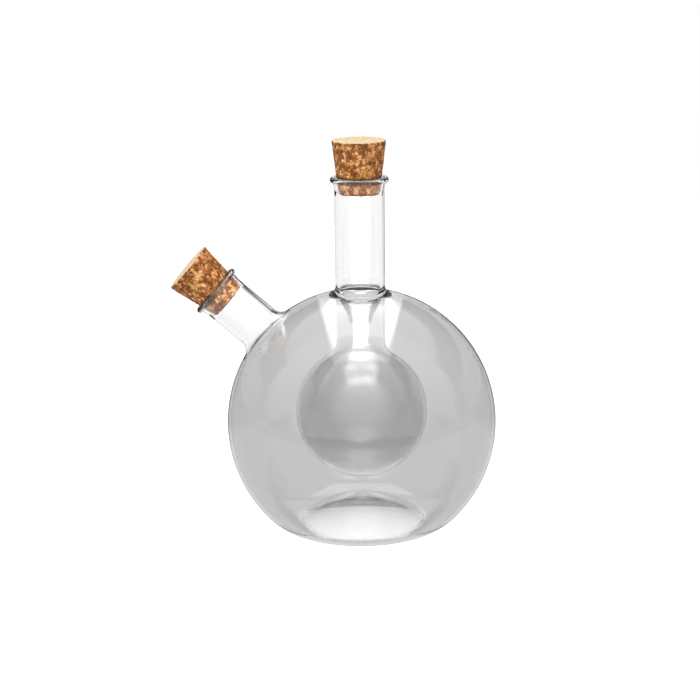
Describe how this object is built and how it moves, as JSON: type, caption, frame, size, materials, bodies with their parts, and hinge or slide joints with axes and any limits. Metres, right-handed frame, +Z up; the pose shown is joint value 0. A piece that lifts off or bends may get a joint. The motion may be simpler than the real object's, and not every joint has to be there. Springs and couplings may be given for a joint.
{
  "type": "two-in-one oil and vinegar bottle",
  "caption": "Round clear glass vessel with a slanting side spout and a small flask fused inside it, whose neck rises from the top; a tapered cork in each mouth.",
  "frame": {"origin": "centre of the ring that the bottle stands on, on the surface under it", "axes": "+Z up along the neck; the spout leans towards -X; the flask and the neck are round about Z"},
  "size_m": [0.1289, 0.1078, 0.1561],
  "materials": {
    "glass": "clear, gloss",
    "cork": "matte, granular"
  },
  "bodies": {
    "root": {"bottle_glass": "glass", "neck_cork": "cork", "spout_cork": "cork"}
  },
  "joints": []
}
